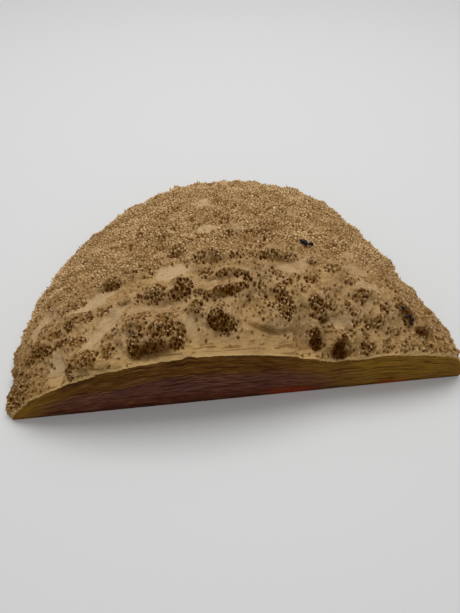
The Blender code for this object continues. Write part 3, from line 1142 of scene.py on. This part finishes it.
def sawn_side_material():
    side = Shader("sawn_side_wood", 0.6, 0.02)
    ochre, gold = rgb(0.132, 0.052, 0.004), rgb(0.30, 0.155, 0.012)
    maroon, plum = rgb(0.105, 0.024, 0.012), rgb(0.125, 0.045, 0.045)
    dark, red = rgb(0.038, 0.010, 0.004), rgb(0.30, 0.030, 0.003)
    depth, level, place = (side.attribute(name) for name in ("depth", "level", "place"))
    way = side.attribute("layers", "Vector")
    broad = side.noise(9 * MM, way=way, bend=0.6)
    streak = side.noise(2.2 * MM, detail=8.0, rough=0.7, way=way, bend=0.15)
    fine = side.noise(0.9 * MM, detail=3.0, way=way, bend=0.15)
    uneven = side.math("ADD", level, side.times(broad, 0.5))
    ends = side.math("MAXIMUM", side.span(place, -112.0, -165.0), side.span(place, 25.0, 100.0))
    middle = side.math("SUBTRACT", 1.0, side.times(ends, 0.92))
    side.painted = side.mix(side.times(ends, 0.85), ochre, gold)
    side.paint(plum, side.times(side.span(uneven, 0.98, 0.72), middle), 0.75)
    side.paint(maroon, side.times(side.span(uneven, 0.62, 0.36), middle), 0.80)
    side.paint(rgb(0.32, 0.16, 0.055), side.span(fine, 0.50, 0.66), 0.48)
    side.paint(dark, side.span(fine, 0.49, 0.34), 0.68)
    side.paint(dark, side.span(streak, 0.48, 0.60), 0.78)
    side.paint(dark, side.span(level, 0.14, 0.0), 0.55)
    spot = side.times(side.span(place, 98.0, 112.0), side.span(place, 134.0, 122.0))
    spot = side.times(spot, side.span(uneven, 0.46, 0.20))
    glow = side.times(side.span(place, 10.0, 30.0), side.span(place, 66.0, 44.0))
    glow = side.times(glow, side.span(uneven, 0.52, 0.30))
    side.paint(red, side.math("MAXIMUM", spot, side.times(glow, 0.7)), 0.70)
    side.paint(rgb(0.36, 0.21, 0.06), side.span(depth, 1.0, 0.1), 0.5)
    side.colour(side.painted)
    side.bump(fine, 0.2 * MM, 0.5)
    return side.material


def underside_material():
    under = Shader("sawn_underside_wood", 0.6, 0.15)
    eyes = under.noise(4.0 * MM, detail=2.0)
    swirl = under.noise(18 * MM, (1.0, 2.0, 1.0), bend=2.5)
    tan, brown = rgb(0.20, 0.095, 0.035), rgb(0.11, 0.04, 0.02)
    under.painted = under.mix(under.span(swirl, 0.4, 0.6), tan, brown)
    under.paint(rgb(0.04, 0.015, 0.01), under.span(eyes, 0.62, 0.68), 0.8)
    under.colour(under.painted)
    under.bump(swirl, 0.1 * MM, 0.4)
    return under.material


def bead_material():
    bead = Shader("resin", 0.22, 0.15)
    bead.colour(rgb(0.006, 0.004, 0.006))
    return bead.material


# Stage

def make_floor():
    mesh = bpy.data.meshes.new("floor")
    half = FLOOR_HALF_WIDTH
    mesh.from_pydata([(-half, -half, 0), (half, -half, 0), (half, half, 0), (-half, half, 0)], [],
                     [(0, 1, 2, 3)])
    material = Shader("pale_floor", 0.45, 0.4)
    material.colour(rgb(0.79, 0.79, 0.785))
    add_object("floor", mesh, [material.material])


def make_lights():
    world = bpy.data.worlds.new("soft_room")
    world.use_nodes = True
    background = world.node_tree.nodes["Background"]
    background.inputs["Color"].default_value = rgb(0.97, 0.98, 0.985)
    background.inputs["Strength"].default_value = ROOM_GLOW
    bpy.context.scene.world = world
    light = bpy.data.lights.new("ceiling", "AREA")
    light.shape = "RECTANGLE"
    light.size, light.size_y = LIGHT_SIZE
    light.energy = LIGHT_POWER
    lamp = bpy.data.objects.new("ceiling", light)
    lamp.location = LIGHT_PLACE
    lamp.rotation_euler = (-Vector(LIGHT_PLACE)).to_track_quat("-Z", "Y").to_euler()
    bpy.context.scene.collection.objects.link(lamp)


def make_camera():
    """The photograph's view, steeply down and a little from the left."""
    camera = bpy.data.cameras.new("camera")
    camera.sensor_width = SENSOR
    camera.lens = SENSOR * PICTURE[0] / PICTURE[1]
    eye = bpy.data.objects.new("camera", camera)
    eye.location = Vector(EYE) + Vector(PLACE)
    eye.rotation_euler = (radians(90.0 - LOOKING_DOWN), 0.0, radians(LOOKING_ASIDE))
    bpy.context.scene.collection.objects.link(eye)
    bpy.context.scene.camera = eye


def main():
    bpy.context.scene.view_settings.view_transform = "Standard"
    make_camera()
    make_lights()
    make_floor()
    surface = make_surface()
    pieces = make_body(surface) + make_spikes(surface, spike_material())
    pieces.append(make_beads(surface, bead_material()))
    for piece in pieces:
        piece.data.transform(Matrix.Translation(PLACE))
        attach(piece, BODY)
        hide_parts(NODE)


main()
